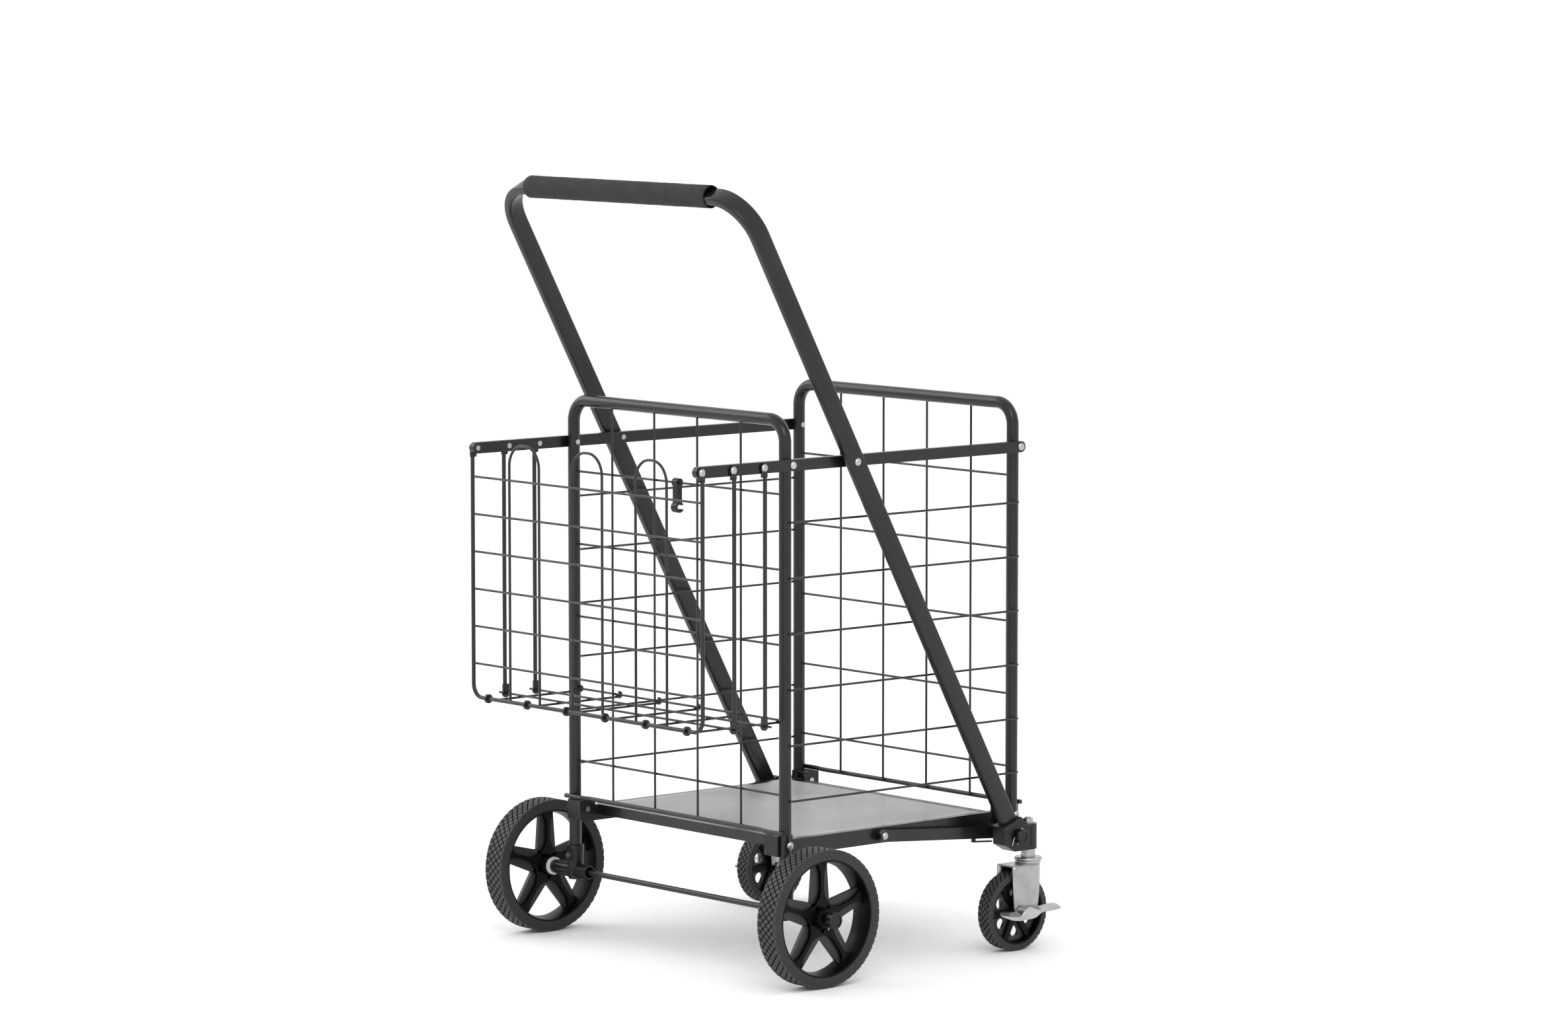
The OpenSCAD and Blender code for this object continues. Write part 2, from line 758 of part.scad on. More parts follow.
module axle_brackets() {
    socket_top = 131;
    socket_bottom = 82;
    half = 12;
    color("#1b1b1d") both() difference() {
        union() {
            translate([px - half, yr - half, socket_bottom]) cube([2 * half, 2 * half, socket_top - socket_bottom]);
            bar_x(px + half - 1, wheel_x - 4.6, yr, axle_z, 10);
            for (a = [0 : 45 : 315]) translate([px + half - 1, yr, axle_z]) rotate([a, 0, 0])
                translate([0, -1, 9]) cube([18, 2, 2.6]);
            bar_x(px - half - 20, px - half + 1, yr, axle_z, 9.8);
        }
        translate([px, yr, axle_z + 9]) cylinder(r = tr, h = 60);
        bar_x(px - half - 21, px - half - 3, yr, axle_z, 7.4);
        bar_x(150, wheel_x, yr, axle_z, axle_r);
        translate([px, yr - half - 1, 117]) rotate([-90, 0, 0]) cylinder(r = 2, h = 6);
    }
}

module axle_bracket_screws() {
    color("#c4c6c8") both() translate([px, yr - 12, 117]) rotate([90, 0, 0]) {
        difference() {
            cylinder(r = 4, h = 2.2);
            translate([-2.4, -0.5, 1.2]) cube([4.8, 1, 2]);
            translate([-0.5, -2.4, 1.2]) cube([1, 4.8, 2]);
        }
        translate([0, 0, -3]) cylinder(r = 2, h = 3.5);
    }
}

module rear_axle() {
    color("#3a3b3d") difference() {
        bar_x(-axle_half, axle_half, yr, axle_z, axle_r);
        both() cotter_leg(rear_cotter_x, yr, axle_z, 10);
    }
}

module axle_end_caps() {
    color("#202022") both() end_cap(cap_x, yr, axle_z, cap_r, cap_t);
}

module rear_cotter_pins() {
    color("#c9c9cc") both() cotter(rear_cotter_x, yr, axle_z, 10);
}

module rear_wheel_washers() {
    color("#c9c9cc") both() difference() {
        bar_x(wheel_x - 4.4, wheel_x - 0.6, yr, axle_z, 12.5);
        bar_x(wheel_x - 6, wheel_x + 1, yr, axle_z, axle_r);
    }
}

module rear_rim() {
    color("#1e1e20") translate([wheel_x, yr, axle_z]) rim(rear_wheel_w, wheel_r - tyre_t, rim_t, hub_r, spokes);
}

module rear_tyre() {
    color("#17171a") translate([wheel_x, yr, axle_z]) tyre(rear_wheel_w, wheel_r, tyre_t);
}

// ---- lock clip ----

// a plastic double clip: its upper end snaps round the rear grid's top wire and it hangs down
module lock_clip() {
    ring = 6.2;
    w = 11;
    color("#1b1b1d") difference() {
        union() {
            bar_x(clip_x - w / 2, clip_x + w / 2, yr, top_wire_z, ring);
            bar_x(clip_x - w / 2, clip_x + w / 2, yr, top_wire_z - clip_len, ring + 1.3);
            translate([clip_x - w / 2, yr - 4, top_wire_z - clip_len + 5]) cube([w, 8, clip_len - 9]);
        }
        bar_x(clip_x - w, clip_x + w, yr, top_wire_z, wr + fit);
        bar_x(clip_x - w, clip_x + w, yr, top_wire_z - clip_len, 3.9);
        translate([clip_x - w, yr, top_wire_z - clip_len - 2.8]) cube([2 * w, 20, 5.6]);
    }
}

rear_frame();
rear_grid();
rear_hinge_brackets();
axle_brackets();
axle_bracket_screws();
rear_axle();
axle_end_caps();
rear_cotter_pins();
rear_wheel_washers();
rail_rear_rivets();
base_rear_rivets();
mirror([1, 0, 0]) rear_rim();  // rear_rim_left
mirror([1, 0, 0]) rear_tyre();  // rear_tyre_left
rear_rim();  // rear_rim_right
rear_tyre();  // rear_tyre_right
rail_left();
rail_right();
handle_rivets();
handle_spacers();
basket_rivets();
front_frame();
front_grid();
front_hinge_brackets();
rail_front_rivets();
base_front_rivets();
base_frame();
base_deck();
link_rivets();
link_spacers();
side_wires(0);  // side_wires_1
side_wires(1);  // side_wires_2
side_wires(2);  // side_wires_3
side_wires(3);  // side_wires_4
side_wires(4);  // side_wires_5
side_wires(5);  // side_wires_6
basket_frame();
basket_grid();
basket_rods(rod_ys[0]);  // basket_rods_back
basket_rods(rod_ys[1]);  // basket_rods_mid
basket_floor();
handle_tube();
handle_grip();
caster_brackets();
front_pivot_pins();
front_end_caps();
front_cotter_pins();
caster_stems();
caster_nuts();
link_bars();
lock_clip();
mirror([1, 0, 0]) caster_fork();  // caster_fork_left
caster_fork();  // caster_fork_right
mirror([1, 0, 0]) caster_axle();  // caster_axle_left
caster_axle();  // caster_axle_right
mirror([1, 0, 0]) caster_rim();  // caster_rim_left
caster_rim();  // caster_rim_right
mirror([1, 0, 0]) caster_tyre();  // caster_tyre_left
caster_tyre();  // caster_tyre_right
mirror([1, 0, 0]) brake_pedal();  // brake_pedal_left
brake_pedal();  // brake_pedal_right
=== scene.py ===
import json
import math

import bmesh
import bpy
from mathutils import Matrix, Vector


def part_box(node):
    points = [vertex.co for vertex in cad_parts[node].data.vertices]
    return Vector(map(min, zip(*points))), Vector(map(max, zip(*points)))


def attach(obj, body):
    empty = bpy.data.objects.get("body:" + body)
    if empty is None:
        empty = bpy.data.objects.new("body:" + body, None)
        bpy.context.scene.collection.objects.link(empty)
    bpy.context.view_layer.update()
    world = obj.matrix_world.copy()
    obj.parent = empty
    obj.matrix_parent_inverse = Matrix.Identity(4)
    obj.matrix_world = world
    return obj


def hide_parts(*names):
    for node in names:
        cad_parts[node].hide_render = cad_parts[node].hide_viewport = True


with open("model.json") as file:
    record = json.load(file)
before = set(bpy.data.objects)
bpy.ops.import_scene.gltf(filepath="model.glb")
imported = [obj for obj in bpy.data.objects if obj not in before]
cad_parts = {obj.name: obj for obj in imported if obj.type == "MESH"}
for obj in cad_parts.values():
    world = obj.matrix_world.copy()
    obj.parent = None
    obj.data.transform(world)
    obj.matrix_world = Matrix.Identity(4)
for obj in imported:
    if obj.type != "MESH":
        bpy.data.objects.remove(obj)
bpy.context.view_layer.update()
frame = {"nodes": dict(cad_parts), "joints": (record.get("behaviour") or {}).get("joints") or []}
NODES = frame["nodes"]
X, Y, Z = Vector((1, 0, 0)), Vector((0, 1, 0)), Vector((0, 0, 1))
SIDES = {"right": 1, "left": -1}


# ---- materials ----


def noise(tree, scale, detail=3.0, rough=0.5):
    """A noise texture in the object's own coordinates."""
    coords = tree.nodes.new("ShaderNodeTexCoord")
    node = tree.nodes.new("ShaderNodeTexNoise")
    node.inputs["Scale"].default_value = scale
    node.inputs["Detail"].default_value = detail
    node.inputs["Roughness"].default_value = rough
    tree.links.new(coords.outputs["Object"], node.inputs["Vector"])
    return node.outputs["Fac"]


def ramp(tree, fac, low, high, start=0.3, end=0.7):
    """Colours between low and high, as fac runs from start to end."""
    node = tree.nodes.new("ShaderNodeValToRGB")
    first, last = node.color_ramp.elements
    first.position, last.position = start, end
    first.color, last.color = (*low, 1), (*high, 1)
    tree.links.new(fac, node.inputs["Fac"])
    return node.outputs["Color"]


def bump(tree, shader, fac, strength, distance):
    """Relief of that depth on the shader's normal."""
    node = tree.nodes.new("ShaderNodeBump")
    node.inputs["Strength"].default_value = strength
    node.inputs["Distance"].default_value = distance
    tree.links.new(fac, node.inputs["Height"])
    tree.links.new(node.outputs["Normal"], shader.inputs["Normal"])


def material(name, low, high, rough, grain, relief, metallic=0.0, coat=0.0, mottle=18, shine=0.5):
    """Colour and roughness that vary a little, and a fine relief.

    low and high are the darkest and lightest colours, rough is a pair of roughness values, grain is the
    relief's scale, relief its (strength, depth in metres), and mottle the scale of the colour's variation."""
    made = bpy.data.materials.new(name)
    made.use_nodes = True
    tree = made.node_tree
    shader = tree.nodes["Principled BSDF"]
    shader.inputs["Metallic"].default_value = metallic
    shader.inputs["Coat Weight"].default_value = coat
    shader.inputs["Coat Roughness"].default_value = 0.12
    shader.inputs["Specular IOR Level"].default_value = shine
    patches = noise(tree, mottle, detail=4)
    tree.links.new(ramp(tree, patches, low, high), shader.inputs["Base Color"])
    smear = noise(tree, mottle * 2.3, detail=5, rough=0.6)
    spread = tree.nodes.new("ShaderNodeMapRange")
    spread.inputs["To Min"].default_value, spread.inputs["To Max"].default_value = rough
    tree.links.new(smear, spread.inputs["Value"])
    tree.links.new(spread.outputs["Result"], shader.inputs["Roughness"])
    bump(tree, shader, noise(tree, grain, detail=2), *relief)
    return made


def grey(value):
    return (value, value, value)


PAINT = material("black_paint", grey(0.006), grey(0.010), (0.2, 0.34), 900, (0.12, 0.00006), coat=0.08,
                 shine=0.36)
WIRE = material("wire_paint", grey(0.006), grey(0.010), (0.28, 0.42), 1200, (0.1, 0.00005), coat=0.1,
                shine=0.42)
PLASTIC = material("black_plastic", grey(0.004), grey(0.007), (0.26, 0.4), 1500, (0.15, 0.00005), shine=0.34)
# painted dark reflection: the glossy rim ribs, star, hub and band get a much darker copy of the rim plastic,
# with little shine, for the dark reflections they show
DARK_REFLECTION = material("rim_painted_dark_reflection", grey(0.0015), grey(0.003), (0.3, 0.44), 700, (0.08, 0.00005), shine=0.12)
# painted shade: a near-black copy of the black rubber and plastic, for the shaded floors between the tyre's
# tread blocks and the shaded gaps of the clamp slits
GAP_SHADE = material("painted_gap_shade", grey(0.0008), grey(0.0015), (0.8, 0.9), 900, (0.1, 0.00005), shine=0.1)
RIM = material("rim_plastic", grey(0.014), grey(0.020), (0.4, 0.55), 900, (0.1, 0.00005))
TYRE = material("tyre_rubber", grey(0.009), grey(0.014), (0.5, 0.68), 1400, (0.3, 0.0001))
# painted light: a lighter copy of the tyre rubber, for the lit tops of the tread blocks
LIT_TREAD = material("tyre_tread_lit", grey(0.028), grey(0.040), (0.5, 0.66), 1400, (0.3, 0.0001))
FOAM = material("foam", grey(0.010), grey(0.016), (0.72, 0.86), 1700, (0.55, 0.0003), mottle=60)
ZINC = material("zinc", grey(0.34), grey(0.44), (0.24, 0.4), 500, (0.08, 0.00005), metallic=1.0, mottle=45)
BRIGHT = material("bright_steel", grey(0.40), grey(0.50), (0.22, 0.36), 800, (0.05, 0.00004), metallic=1.0)
PEDAL = material("pedal_zinc", grey(0.40), grey(0.52), (0.26, 0.4), 500, (0.08, 0.00005), metallic=1.0)
WHITE = material("pale_washer", grey(0.62), grey(0.70), (0.3, 0.4), 800, (0.05, 0.00004))
DECK = material("deck_plastic", grey(0.27), grey(0.40), (0.26, 0.42), 420, (0.25, 0.0002), mottle=5)

LOOKS = {
    PAINT: ["rear_frame", "front_frame", "rail_left", "rail_right", "base_frame", "link_bars", "handle_tube",
            "rear_axle", "front_pivot_pins"],
    WIRE: ["rear_grid", "front_grid", "basket_frame", "basket_grid", "basket_rods_back", "basket_rods_mid",
           "basket_floor", *[f"side_wires_{i}" for i in range(1, 7)]],
    PLASTIC: ["rear_hinge_brackets", "front_hinge_brackets", "axle_brackets", "axle_end_caps", "front_end_caps",
              "handle_spacers", "link_spacers", "caster_brackets", "lock_clip"],
    RIM: ["rear_rim_left", "rear_rim_right", "caster_rim_left", "caster_rim_right"],
    TYRE: ["rear_tyre_left", "rear_tyre_right", "caster_tyre_left", "caster_tyre_right"],
    FOAM: ["handle_grip"],
    ZINC: ["caster_stems", "caster_nuts", "caster_fork_left", "caster_fork_right", "caster_axle_left",
           "caster_axle_right"],
    PEDAL: ["brake_pedal_left", "brake_pedal_right"],
    WHITE: ["rear_wheel_washers"],
    BRIGHT: ["axle_bracket_screws", "rear_cotter_pins", "front_cotter_pins",
             "rail_rear_rivets", "rail_front_rivets", "base_rear_rivets", "base_front_rivets",
             "handle_rivets", "basket_rivets", "link_rivets"],
    DECK: ["base_deck"],
}

for look, names in LOOKS.items():
    for name in names:
        node = NODES[name]
        node.data.materials.clear()
        node.data.materials.append(look)


# ---- mesh helpers ----


def piece(name, verts, faces, look, body, replaces=(), bevel=0.0, segments=2, smooth=40):
    """A mesh of that look on a CAD body. bevel rounds its sharp edges by that width."""
    data = bpy.data.meshes.new(name)
    data.from_pydata([tuple(v) for v in verts], [], faces)
    data.update()
    work = bmesh.new()
    work.from_mesh(data)
    bmesh.ops.remove_doubles(work, verts=work.verts, dist=1e-6)
    bmesh.ops.recalc_face_normals(work, faces=work.faces)
    work.to_mesh(data)
    work.free()
    made = bpy.data.objects.new(name, data)
    bpy.context.scene.collection.objects.link(made)
    data.materials.append(look)
    for face in data.polygons:
        face.use_smooth = True
    data.set_sharp_from_angle(angle=math.radians(smooth))
    if bevel:
        rounding = made.modifiers.new("rounding", "BEVEL")
        rounding.width, rounding.segments = bevel, segments
        rounding.limit_method = "ANGLE"
        rounding.angle_limit = math.radians(35)
        rounding.harden_normals = True
    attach(made, body)
    if replaces:
        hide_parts(*replaces)
    return made


class Shape:
    """Vertices and faces that grow part by part."""

    def __init__(self):
        self.verts, self.faces = [], []

    def add(self, verts, faces):
        start = len(self.verts)
        self.verts += [Vector(v) for v in verts]
        self.faces += [tuple(start + i for i in face) for face in faces]
        return self

    def moved(self, matrix):
        out = Shape()
        return out.add([matrix @ v for v in self.verts], self.faces)

    def join(self, other):
        return self.add(other.verts, other.faces)


def grid_faces(rows, columns, wrap_rows=False, wrap_columns=True):
    """Quads between rows of points, each of that many columns."""
    faces = []
    for i in range(rows if wrap_rows else rows - 1):
        for j in range(columns if wrap_columns else columns - 1):
            k, m = (i + 1) % rows, (j + 1) % columns
            faces.append((i * columns + j, i * columns + m, k * columns + m, k * columns + j))
    return faces


def lathe(profile, count=64, closed=True):
    """Turns (x, radius) points about the X axis. closed joins the last point to the first."""
    verts = []
    for x, r in profile:
        for j in range(count):
            a = math.tau * j / count
            verts.append((x, r * math.cos(a), r * math.sin(a)))
    return Shape().add(verts, grid_faces(len(profile), count, wrap_rows=closed))


def circle(r, count):
    """Points round a circle about the origin."""
    return [(r * math.cos(math.tau * i / count), r * math.sin(math.tau * i / count)) for i in range(count)]


def rounded_rect(w, h, r, steps=4):
    """A w by h section with corner radius r, centred on the origin."""
    out = []
    for cx, cy, start in ((1, 1, 0), (-1, 1, 90), (-1, -1, 180), (1, -1, 270)):
        for i in range(steps + 1):
            a = math.radians(start + 90 * i / steps)
            out.append((cx * (w / 2 - r) + r * math.cos(a), cy * (h / 2 - r) + r * math.sin(a)))
    return out


def sweep(path, section, up=X, closed=False, caps=True):
    """Carries a section along a path. The section's second axis stays near up."""
    verts, count = [], len(path)
    for i, p in enumerate(path):
        a = path[(i - 1) % count] if closed or i else p
        b = path[(i + 1) % count] if closed or i < count - 1 else p
        along = (b - a).normalized()
        side = along.cross(up).normalized()
        top = side.cross(along)
        verts += [p + side * u + top * v for u, v in section]
    n = len(section)
    faces = grid_faces(count, n, wrap_rows=closed)
    if caps and not closed:
        faces += [tuple(reversed(range(n))), tuple(range((count - 1) * n, count * n))]
    return Shape().add(verts, faces)


def arc(centre, r, start, end, u, v, steps=10):
    """Points on an arc in the plane of u and v, from start to end degrees."""
    out = []
    for i in range(steps + 1):
        a = math.radians(start + (end - start) * i / steps)
        out.append(centre + u * (r * math.cos(a)) + v * (r * math.sin(a)))
    return out


def prism(outline, x0, x1):
    """A solid between x0 and x1 with that (y, z) outline."""
    n = len(outline)
    verts = [(x0, y, z) for y, z in outline] + [(x1, y, z) for y, z in outline]
    faces = [tuple(reversed(range(n))), tuple(range(n, 2 * n))]
    faces += [(i, (i + 1) % n, n + (i + 1) % n, n + i) for i in range(n)]
    return Shape().add(verts, faces)


def block(low, high):
    """A box between two corners."""
    return prism([(low[1], low[2]), (high[1], low[2]), (high[1], high[2]), (low[1], high[2])], low[0], high[0])


def mirrored(shape, sign):
    """The shape itself for the right side, or its mirror image for the left."""
    if sign > 0:
        return shape
    out = Shape()
    return out.add([Vector((-v.x, v.y, v.z)) for v in shape.verts], [tuple(reversed(f)) for f in shape.faces])


def middle(node):
    """The middle of a CAD node's box."""
    low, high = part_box(node)
    return (Vector(low) + Vector(high)) / 2


def size(node):
    """How far a CAD node's box reaches along X, Y and Z."""
    low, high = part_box(node)
    return Vector(high) - Vector(low)


def softened(node, width, body, segments=2):
    """The CAD node's own shape with its sharp edges rounded by width."""
    source = NODES[node]
    look = source.data.materials[0]
    work = bmesh.new()
    work.from_mesh(source.data)
    bmesh.ops.remove_doubles(work, verts=work.verts, dist=1e-6)
    bmesh.ops.dissolve_limit(work, angle_limit=math.radians(1), verts=work.verts, edges=work.edges)
    verts = [v.co.copy() for v in work.verts]
    faces = [[v.index for v in f.verts] for f in work.faces]
    work.free()
    return piece(f"{node}_moulding", verts, faces, look, body, [node], width, segments)


# ---- where things are, from the frame ----

JOINTS = {joint["name"]: joint for joint in frame["joints"]}


def pivot(joint):
    """Where a joint turns, at rest."""
    return Vector(JOINTS[joint]["pos_m"])


RAIL_PIVOT = pivot("handle_fold")
GRIP = middle("handle_grip")
LEG_UP = (GRIP - RAIL_PIVOT).normalized()
LEG_OUT = X.cross(LEG_UP)
REACH = (GRIP - RAIL_PIVOT).length
LEG_THICK = 0.0128
LEG_WIDE = 0.0274
HANDLE_BEND = 0.059
LEG_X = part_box("handle_tube")[1][0] - LEG_THICK / 2
LEG_CORNER = 0.0034
TUBE_R = 0.0085
AXLE_BORE = 0.0041


# ---- handle ----


def handle_points(drop):
    """The handle's centre line: up the right leg, over the two bends, and down the left leg."""
    bend_up = REACH - HANDLE_BEND
    bend_in = LEG_X - HANDLE_BEND
    right = RAIL_PIVOT + X * bend_in + LEG_UP * bend_up
    left = RAIL_PIVOT - X * bend_in + LEG_UP * bend_up
    points = [RAIL_PIVOT + X * LEG_X - LEG_UP * drop]
    points += arc(right, HANDLE_BEND, 0, 90, X, LEG_UP, 16)
    points += arc(left, HANDLE_BEND, 90, 180, X, LEG_UP, 16)
    points.append(RAIL_PIVOT - X * LEG_X - LEG_UP * drop)
    return points


def make_handle():
    """The flat tube bent into one long U."""
    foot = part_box("handle_tube")[0][2]
    drop = (RAIL_PIVOT.z - foot) / LEG_UP.z - LEG_WIDE / 4
    tube = sweep(handle_points(drop), rounded_rect(LEG_THICK, LEG_WIDE, LEG_CORNER), LEG_OUT)
    piece("handle_bent_tube", tube.verts, tube.faces, PAINT, "handle", ["handle_tube"], smooth=50)


def make_grip():
    """Foam sleeve: a soft tube with rolled ends that stand open round the flat handle tube."""
    half = size("handle_grip").x / 2
    outer = size("handle_grip").z / 2 - 0.0003
    mouth = outer - 0.0013
    seat, roll = 0.012, 0.0016
    rows = [(half - seat, 0.005), (half - seat, mouth), (half - roll, mouth), (half, mouth + 0.0006),
            (half - roll * 0.3, outer - roll * 0.3), (half - roll, outer)]
    body = [(half - roll - (half - roll) * i / 20, outer) for i in range(1, 20)]
    profile = rows + body
    profile += [(-x, r) for x, r in reversed(profile)]
    sleeve = lathe(profile, 48, closed=False)
    for v in sleeve.verts:
        if abs(v.x) < half - seat:
            sag = 0.0002 * math.sin(v.x * 170) + 0.00015 * math.sin(v.x * 61 + 3 * v.z / outer)
            v.y *= 1 - abs(sag) / outer
            v.z *= 1 - abs(sag) / outer
    sleeve = sleeve.moved(Matrix.Translation(GRIP))
    grip = piece("foam_grip", sleeve.verts, sleeve.faces, FOAM, "handle", ["handle_grip"], smooth=60)


# ---- wheels ----


def radial(outline, angle, x0, x1):
    """A solid from x0 to x1 with an outline of (radius, half width) pairs, mirrored about that angle."""
    both = list(outline) + [(r, -t) for r, t in reversed(outline)]
    a = math.radians(angle)
    points = [(r * math.cos(a) - t * math.sin(a), r * math.sin(a) + t * math.cos(a)) for r, t in both]
    return prism(points, x0, x1)


def carcass(width, radius, tread, inner):
    """The tyre under its tread, from x = 0 to width: two full shoulders, and a lower crown between them."""
    profile = [(0, inner), (0, radius - 0.0016), (0.0006, radius - 0.0005), (0.0018, radius - 0.0001),
               (0.0024, radius - 0.0002), (0.0030, radius - tread)]
    return lathe(profile + [(width - x, r) for x, r in reversed(profile)], 96)


def tread_blocks(width, crown, radius, pitches, rows):
    """Staggered diamonds with a net of grooves between them. Those on the two edges are halves."""
    out = Shape()
    step, row = math.tau / pitches, width / rows
    share = 0.78
    for i in range(rows + 1):
        for k in range(pitches):
            x, a = i * row, (k + 0.5 * (i % 2)) * step
            corners = [(x - row * share, a), (x, a - step * share / 2), (x + row * share, a),
                       (x, a + step * share / 2)]
            if i == 0:
                corners = [(0.0001, a - step * share / 2), (x + row * share, a), (0.0001, a + step * share / 2)]
            elif i == rows:
                edge = width - 0.0001
                corners = [(x - row * share, a), (edge, a - step * share / 2), (edge, a + step * share / 2)]
            n = len(corners)
            verts = [(u, r * math.cos(t), r * math.sin(t))
                     for r in (crown - 0.0012, radius) for u, t in corners]
            faces = [tuple(range(n, 2 * n)), tuple(reversed(range(n)))]
            faces += [(j, (j + 1) % n, n + (j + 1) % n, n + j) for j in range(n)]
            out.add(verts, faces)
    return out


def wheel_place(node, sign):
    """Moves a wheel made from x = 0 outwards to where that right-hand node is, or to its mirror image."""
    low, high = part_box(node)
    y, z = (low[1] + high[1]) / 2, (low[2] + high[2]) / 2
    x = min(abs(low[0]), abs(high[0]))
    matrix = Matrix.Translation((x, y, z))
    return lambda shape: mirrored(shape.moved(matrix), sign)


def big_rim(width, outer):
    """Plates of five broad spokes, and the glossy ribs, star, hub and band that stand on them. Ribs, star, hub
    and band take a darker colour that is painted dark reflection.
    """
    band = outer - 0.0052
    lip = 0.0022
    mid, web, rib = width / 2, 0.0032, 0.0085
    plates, dark_reflection_parts = Shape(), Shape()
    dark_reflection_parts.join(lathe([(0, outer), (0, outer - lip), (0.010, band), (width - 0.010, band),
                      (width, outer - lip), (width, outer)], 96))
    plate = [(0.012, 0.0150), (0.020, 0.0165), (band + 0.0005, 0.0122)]
    ridge = [(0.010, 0.0135), (0.017, 0.0132), (0.021, 0.0112), (0.025, 0.0076), (0.030, 0.0048),
             (0.037, 0.0032), (0.058, 0.0030), (0.064, 0.0040), (0.069, 0.0066), (band + 0.0005, 0.0090)]
    for i in range(5):
        angle = 90 + i * 72
        plates.join(radial(plate, angle, mid - web, mid + web))
        dark_reflection_parts.join(radial(ridge, angle, mid - rib, mid + rib))
    dark_reflection_parts.join(lathe([(0, AXLE_BORE), (0, 0.0125), (0.004, 0.0148), (width - 0.004, 0.0148), (width, 0.0125),
                      (width, AXLE_BORE)], 64))
    return plates, dark_reflection_parts


def small_rim(width, outer):
    """A web with six round holes, and the glossy ribs between them, with the hub and the band. Ribs, hub and
    band take a darker colour that is painted dark reflection.
    """
    band = outer - 0.004
    hub = 0.0105
    holes, hole_r, hole_at, first = 6, 0.0077, 0.0286, 33
    mid, web = width / 2, 0.0030
    plates, dark_reflection_parts = Shape(), Shape()
    dark_reflection_parts.join(lathe([(0, outer), (0, outer - 0.0018), (0.004, band), (width - 0.004, band),
                      (width, outer - 0.0018), (width, outer)], 80))
    step, rounds = 360 / holes, 28
    for i in range(holes):
        ring = []
        for j in range(rounds + 1):
            t = math.tau * j / rounds
            r, s = hole_at + hole_r * math.cos(t), hole_r * math.sin(t)
            near = (math.hypot(r, s), math.degrees(math.atan2(s, r)))
            ring.append((near, sector_edge(t, hub, band, step, hole_at)))
        for (in0, out0), (in1, out1) in zip(ring, ring[1:]):
            flat = [polar(r, first + i * step + a) for r, a in (in0, out0, out1, in1)]
            plates.join(prism(flat, mid - web, mid + web))
        dark_reflection_parts.join(radial([(hub - 0.001, 0.0046), (band + 0.0005, 0.0042)], first + (i + 0.5) * step,
                          mid - 0.0075, mid + 0.0075))
    dark_reflection_parts.join(lathe([(0, AXLE_BORE), (0, hub), (width, hub), (width, AXLE_BORE)], 48))
    return plates, dark_reflection_parts


def polar(r, degrees):
    """The point at that radius and angle."""
    a = math.radians(degrees)
    return (r * math.cos(a), r * math.sin(a))


def sector_edge(t, hub, band, step, hole_at):
    """Where a ray that leaves a hole's middle at angle t meets the edge of its sector of the web."""
    dr, da = math.cos(t), math.sin(t)
    far = []
    if dr > 1e-6:
        far.append((band - hole_at) / dr)
    if dr < -1e-6:
        far.append((hub - hole_at) / dr)
    if abs(da) > 1e-6:
        far.append(math.radians(step / 2) * hole_at / abs(da))
    reach = min(far)
    return hole_at + reach * dr, math.degrees(reach * da / hole_at)


def make_wheels():
    """Each wheel's tyre, its tread over a groove floor painted near-black as shade, and its rim. The tread
    blocks' tops are a lighter copy of the rubber, as painted light.
    """
    for side, sign in SIDES.items():
        for kind, tread, pitches, rows, depth, build in (
            ("rear", 0.0018, 56, 6, 0.0144, big_rim),
            ("caster", 0.0012, 40, 5, 0.0085, small_rim),
        ):
            node = f"{kind}_tyre_{side}"
            body = f"{kind}_wheel_{side}"
            width, radius = size(node).x, size(node).z / 2
            put = wheel_place(node, sign)
            rubber = put(carcass(width, radius, tread, radius - depth))
            piece(f"{kind}_carcass_{side}", rubber.verts, rubber.faces, TYRE, body, [node], smooth=30)
            crown = radius - tread
            edge, below, above = 0.0028, crown - 0.001, crown + 0.0002
            floor = put(lathe([(edge, below), (edge, above), (width - edge, above), (width - edge, below)], 96))
            # painted shade: a near-black ring under the tread blocks stands in for the shade in the grooves
            piece(f"{kind}_grooves_{side}", floor.verts, floor.faces, GAP_SHADE, body, smooth=30)
            blocks = put(tread_blocks(width, crown, radius, pitches, rows))
            # painted light: the tread blocks take the lighter rubber copy on their lit tops
            piece(f"{kind}_tread_{side}", blocks.verts, blocks.faces, LIT_TREAD, body, smooth=20)
            plates, dark_reflection_parts = (put(shape) for shape in build(width, radius - depth))
            # painted dark reflection: ribs, hub and band in the darker rim colour
            piece(f"{kind}_spokes_{side}", dark_reflection_parts.verts, dark_reflection_parts.faces, DARK_REFLECTION, body, [f"{kind}_rim_{side}"],
                  bevel=0.0007, segments=2)
            piece(f"{kind}_plates_{side}", plates.verts, plates.faces, RIM, body, bevel=0.0006, segments=2)


# ---- casters ----


def fork_shell(stem, axle, top, half):
    """One pressed sheet: two cheeks whose front edges wrap round under the stem, open below for the wheel."""
    shape = Shape()
    foot = axle.z + 0.003
    closed_from = axle.z + 0.041
    levels, spread = 14, 14
    rows = []
    for i in range(levels + 1):
        z = foot + (top - foot) * i / levels
        high = max(0.0, min(1.0, (z - foot) / (closed_from - foot)))
        wrap = 90 if z >= closed_from else 12 + 27 * high ** 0.8
        taper = 0.0006 * (1 - high)
        back = axle.y - 0.0105 - 0.0035 * high
        row = [Vector((half - taper, back + (stem.y - back) * k / 4, z)) for k in range(4)]
        for k in range(spread + 1):
            a = math.radians(wrap * k / spread)
            row.append(Vector(((half - taper) * math.cos(a), stem.y + half * math.sin(a), z)))
        rows.append(row)
    n = len(rows[0])
    for sign in (1, -1):
        verts = [Vector((stem.x + sign * v.x, v.y, v.z)) for row in rows for v in row]
        shape.add(verts, grid_faces(len(rows), n, wrap_columns=False))
    return shape


